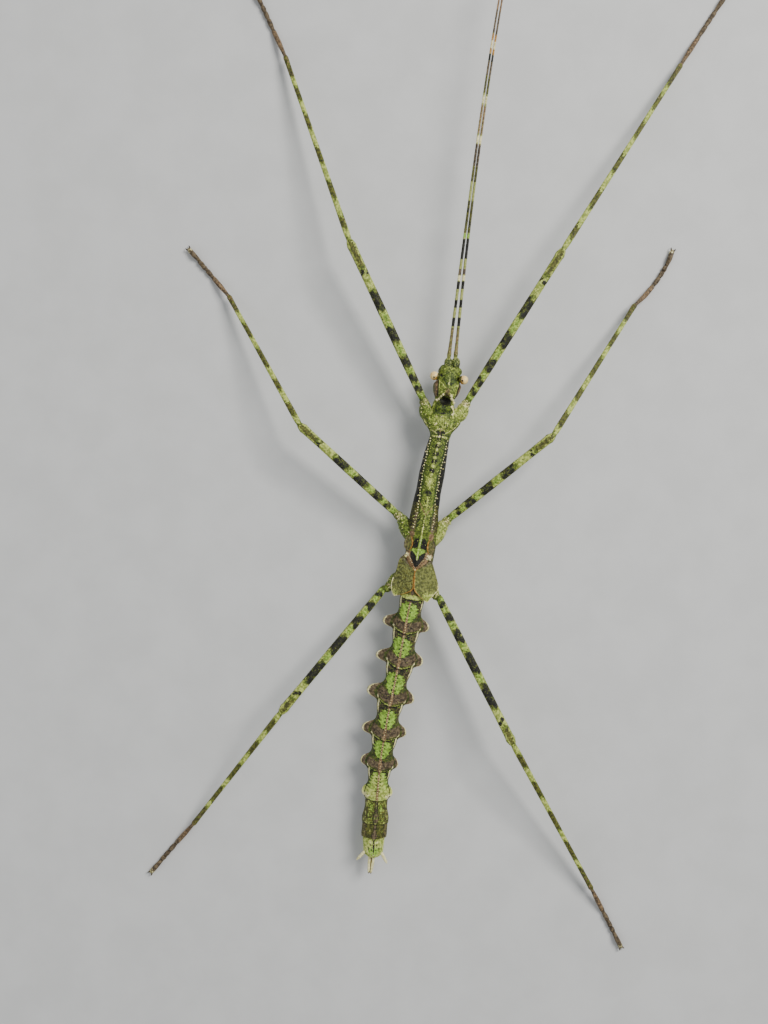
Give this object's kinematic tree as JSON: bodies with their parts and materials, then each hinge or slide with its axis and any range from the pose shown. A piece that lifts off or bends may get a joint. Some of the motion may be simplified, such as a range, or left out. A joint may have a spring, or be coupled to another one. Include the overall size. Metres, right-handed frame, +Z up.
{
  "type": "giant stick insect",
  "caption": "Still, life-size giant stick insect: long green and brown banded body with short wing pads, lobed abdomen, feelers ahead and six splayed legs on the floor.",
  "frame": {"origin": "on the floor, under the middle of the whole animal's bounding box", "axes": "+Y is the way the animal faces, +X its right, +Z up from the floor through its back"},
  "size_m": [0.1914, 0.3192, 0.0157],
  "materials": {
    "green_cuticle": "satin living cuticle, bright green with black and yellow marks",
    "yellow_green_cuticle": "satin, granular yellow-green",
    "olive_cuticle": "satin olive with pale bands",
    "brown_cuticle": "satin brown",
    "tan_cuticle": "satin tan",
    "cream_horn": "satin cream",
    "wing_pad": "satin olive-brown with fine veins and an orange rim",
    "banded_feeler": "satin, banded green, tan and black",
    "claw": "glossy dark brown",
    "eye": "glossy cream with a small dark spot"
  },
  "bodies": {
    "root": {"abdomen_10": "green_cuticle", "abdomen_2": "green_cuticle", "abdomen_3": "green_cuticle", "abdomen_4": "green_cuticle", "abdomen_5": "green_cuticle", "abdomen_6": "green_cuticle", "abdomen_7": "green_cuticle", "abdomen_8": "green_cuticle", "abdomen_9": "green_cuticle", "antenna_left": "banded_feeler", "antenna_right": "banded_feeler", "cercus_left": "cream_horn", "cercus_right": "cream_horn", "claws_fore_left": "claw", "claws_fore_right": "claw", "claws_hind_left": "claw", "claws_hind_right": "claw", "claws_mid_left": "claw", "claws_mid_right": "claw", "coxa_fore_left": "yellow_green_cuticle", "coxa_fore_right": "yellow_green_cuticle", "coxa_hind_left": "yellow_green_cuticle", "coxa_hind_right": "yellow_green_cuticle", "coxa_mid_left": "yellow_green_cuticle", "coxa_mid_right": "yellow_green_cuticle", "eye_left": "eye", "eye_right": "eye", "femur_fore_left": "green_cuticle", "femur_fore_right": "green_cuticle", "femur_hind_left": "green_cuticle", "femur_hind_right": "green_cuticle", "femur_mid_left": "green_cuticle", "femur_mid_right": "green_cuticle", "forewing_pad_left": "wing_pad", "forewing_pad_right": "wing_pad", "head": "green_cuticle", "hindwing_pad_left": "wing_pad", "hindwing_pad_right": "wing_pad", "mesothorax": "green_cuticle", "metathorax": "olive_cuticle", "mouthparts": "brown_cuticle", "ovipositor": "cream_horn", "palp_left": "tan_cuticle", "palp_right": "tan_cuticle", "prothorax": "yellow_green_cuticle", "tarsus_fore_left": "brown_cuticle", "tarsus_fore_right": "brown_cuticle", "tarsus_hind_left": "brown_cuticle", "tarsus_hind_right": "brown_cuticle", "tarsus_mid_left": "brown_cuticle", "tarsus_mid_right": "brown_cuticle", "tibia_fore_left": "olive_cuticle", "tibia_fore_right": "olive_cuticle", "tibia_hind_left": "olive_cuticle", "tibia_hind_right": "olive_cuticle", "tibia_mid_left": "olive_cuticle", "tibia_mid_right": "olive_cuticle"}
  },
  "joints": []
}
